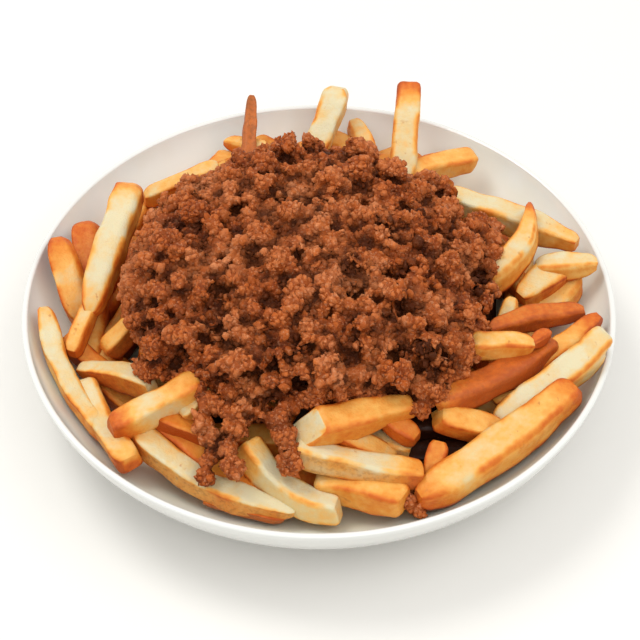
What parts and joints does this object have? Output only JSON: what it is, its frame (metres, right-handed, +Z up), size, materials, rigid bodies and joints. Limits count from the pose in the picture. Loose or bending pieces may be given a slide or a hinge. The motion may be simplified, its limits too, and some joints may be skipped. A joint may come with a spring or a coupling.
{
  "type": "chili fries on a plate",
  "caption": "Heap of hand-cut fries under a mound of crumbled meat chili, served in a round white deep plate.",
  "frame": {"origin": "on the table, at the middle of the plate's foot ring", "axes": "+Z up out of the plate; +Y away from the diner, so the picture's camera looks along +Y and down; +X to the right"},
  "size_m": [0.254, 0.254, 0.0904],
  "materials": {
    "white_glaze": "gloss",
    "fried_potato": "satin",
    "chili_meat": "satin"
  },
  "bodies": {
    "root": {"plate": "white_glaze", "fries": "fried_potato", "chili": "chili_meat"}
  },
  "joints": []
}
